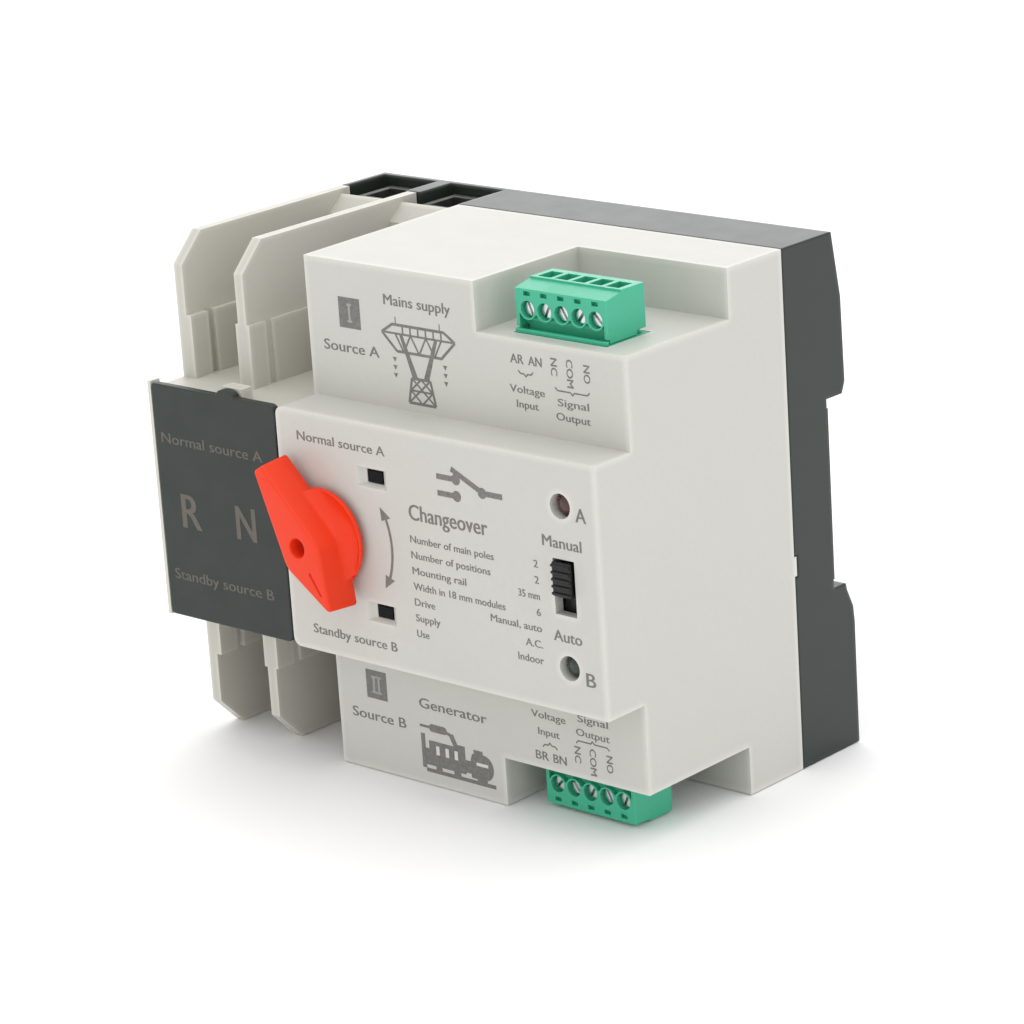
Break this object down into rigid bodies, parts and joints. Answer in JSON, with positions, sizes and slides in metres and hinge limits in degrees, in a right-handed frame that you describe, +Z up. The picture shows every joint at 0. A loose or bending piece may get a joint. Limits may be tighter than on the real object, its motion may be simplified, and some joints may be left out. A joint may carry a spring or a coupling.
{
  "type": "rail-mounted transfer switch",
  "caption": "Two-pole transfer switch for a mounting rail, with a turning knob, a manual or automatic slide button, barriered wire terminals and plug-in control terminals.",
  "frame": {"origin": "middle of the underside of the whole device's box", "axes": "+Z up, +Y from the front face to the rail, +X to the right as seen from the front"},
  "size_m": [0.108, 0.0768, 0.096],
  "materials": {
    "ivory_plastic": "fine-textured pale grey-white moulding, satin",
    "dark_plastic": "fine-textured dark grey moulding, satin",
    "plate_plastic": "dark grey-green plate with grey print, satin",
    "knob_plastic": "red-orange moulding, satin",
    "green_plastic": "mint green terminal plastic, half gloss",
    "black_plastic": "black moulding, satin",
    "smoked_plastic": "smoked clear plastic, gloss",
    "steel": "zinc-plated steel",
    "copper": "tinned copper strip",
    "winding": "enamelled copper winding on a bobbin",
    "board": "green circuit board",
    "relay_case": "blue relay case",
    "lamp_red": "dark red lamp, off",
    "lamp_green": "dark green lamp, off"
  },
  "bodies": {
    "case": {"base": "dark_plastic", "housing": "ivory_plastic", "pole_housing": "ivory_plastic", "label_plate": "plate_plastic", "window_pane": "smoked_plastic", "bearing_plate": "ivory_plastic", "solenoid_coil_a": "winding", "solenoid_coil_b": "winding", "solenoid_yoke": "steel", "control_board": "board", "control_relay": "relay_case", "lamp_a": "lamp_red", "lamp_b": "lamp_green", "mode_switch_body": "black_plastic", "header_top": "green_plastic", "header_bottom": "green_plastic", "clamp_a_r": "steel", "clamp_screw_a_r": "steel", "fixed_contact_a_r": "copper", "clamp_b_r": "steel", "clamp_screw_b_r": "steel", "fixed_contact_b_r": "copper", "clamp_load_r": "steel", "clamp_screw_load_r": "steel", "load_contact_r": "copper", "clamp_a_n": "steel", "clamp_screw_a_n": "steel", "fixed_contact_a_n": "copper", "clamp_b_n": "steel", "clamp_screw_b_n": "steel", "fixed_contact_b_n": "copper", "clamp_load_n": "steel", "clamp_screw_load_n": "steel", "load_contact_n": "copper", "case_screw_1": "steel", "case_screw_2": "steel", "case_screw_3": "steel", "case_screw_4": "steel"},
    "knob_unit": {"knob": "knob_plastic", "knob_screw": "steel", "drive_shaft": "black_plastic"},
    "contact_unit": {"contact_carriage": "black_plastic", "moving_contact_r": "copper", "moving_contact_n": "copper", "solenoid_plunger": "steel"},
    "mode_button": {"mode_slider": "black_plastic"},
    "top_plug": {"plug_top": "green_plastic", "plug_screw_top_1": "steel", "plug_screw_top_2": "steel", "plug_screw_top_3": "steel", "plug_screw_top_4": "steel", "plug_screw_top_5": "steel"},
    "bottom_plug": {"plug_bottom": "green_plastic", "plug_screw_bottom_1": "steel", "plug_screw_bottom_2": "steel", "plug_screw_bottom_3": "steel", "plug_screw_bottom_4": "steel", "plug_screw_bottom_5": "steel"},
    "clip": {"rail_clip": "black_plastic"}
  },
  "joints": [
    {"name": "knob_turn", "type": "hinge", "parent": "case", "child": "knob_unit", "pos_m": [-0.0094, -0.03015, 0.048], "axis": [0, -1, 0], "range_deg": [0, 115]},
    {"name": "contact_slide", "type": "slide", "parent": "case", "child": "contact_unit", "axis": [0, 0, 1], "range_m": [0, 0.00803]},
    {"name": "mode_slide", "type": "slide", "parent": "case", "child": "mode_button", "axis": [0, 0, -1], "range_m": [0, 0.0031]},
    {"name": "top_plug_pull", "type": "slide", "parent": "case", "child": "top_plug", "axis": [0, 0, 1], "range_m": [0, 0.009]},
    {"name": "bottom_plug_pull", "type": "slide", "parent": "case", "child": "bottom_plug", "axis": [0, 0, -1], "range_m": [0, 0.009]},
    {"name": "clip_pull", "type": "slide", "parent": "case", "child": "clip", "axis": [0, 0, -1], "range_m": [0, 0.004], "stiffness_N_per_m": 700, "springref_m": -0.002}
  ],
  "couplings": [
    {"joint": "knob_turn", "follows": "contact_slide", "rad_per_m": 250}
  ]
}
